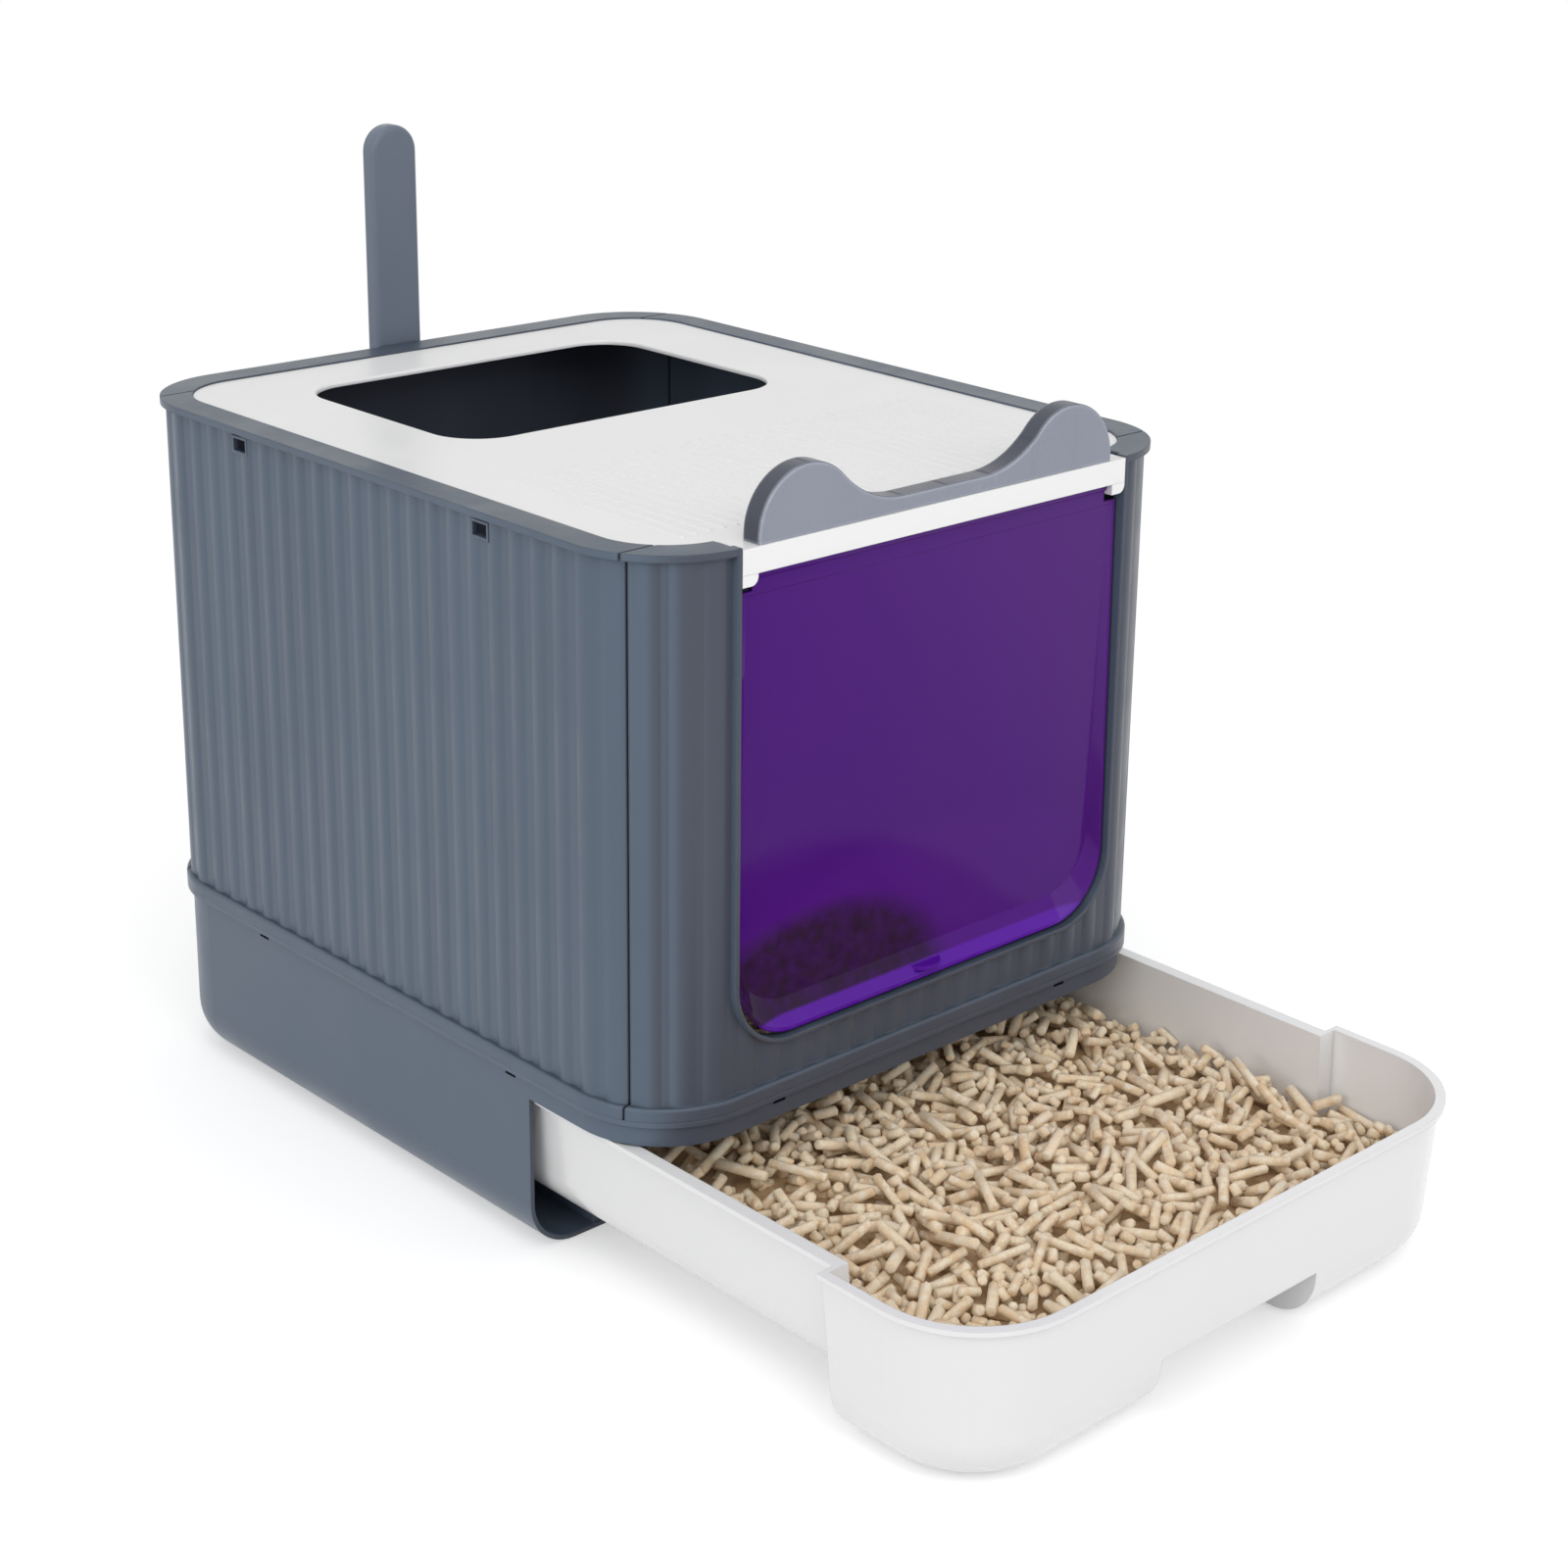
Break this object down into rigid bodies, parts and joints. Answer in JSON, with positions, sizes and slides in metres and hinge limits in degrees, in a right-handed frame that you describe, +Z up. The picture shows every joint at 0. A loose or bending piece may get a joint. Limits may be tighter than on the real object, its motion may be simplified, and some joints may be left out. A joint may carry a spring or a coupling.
{
  "type": "litter box",
  "caption": "Enclosed top-exit litter box with a swinging flap door, lift-off ridged cover, pull-out litter drawer and a hanging scoop.",
  "frame": {"origin": "on the floor below the centre of the box's walls, on the underside of the base tray", "axes": "+Z up, -Y towards the flap door and the pulled-out drawer, +X to the right when facing the door"},
  "size_m": [0.413, 0.7657, 0.561],
  "materials": {
    "grey_base": "satin moulded slate grey plastic",
    "grey_panel": "satin moulded slate grey plastic, fine ribs",
    "grey_crest": "satin slate grey plastic, slightly lighter face",
    "grey_scoop": "satin slate grey plastic",
    "white_drawer": "smooth glossy white plastic",
    "white_cover": "soft glossy white plastic with fine ridges",
    "purple_door": "clear tinted violet plastic, glossy",
    "litter": "pale straw pressed pellets, rough"
  },
  "bodies": {
    "base": {"base_tray": "grey_base", "left_panel": "grey_panel", "right_panel": "grey_panel", "front_panel": "grey_panel", "rear_panel": "grey_panel", "scoop_rack": "grey_base"},
    "drawer": {"drawer_tray": "white_drawer", "litter_bed": "litter"},
    "cover": {"top_cover": "white_cover", "ear_crest": "grey_crest", "hinge_clip_left": "white_cover", "hinge_clip_right": "white_cover"},
    "door": {"door_flap": "purple_door"},
    "scoop": {"scoop": "grey_scoop"}
  },
  "joints": [
    {"name": "drawer_slide", "type": "slide", "parent": "base", "child": "drawer", "axis": [0, -1, 0], "range_m": [-0.236, 0.12]},
    {"name": "cover_lift", "type": "slide", "parent": "base", "child": "cover", "axis": [0, 0, 1], "range_m": [0, 0.12]},
    {"name": "door_swing", "type": "hinge", "parent": "cover", "child": "door", "pos_m": [0, -0.2395, 0.4045], "axis": [1, 0, 0], "range_deg": [-80, 80]},
    {"name": "scoop_lift", "type": "slide", "parent": "base", "child": "scoop", "axis": [0, 0, 1], "range_m": [0, 0.3]}
  ]
}
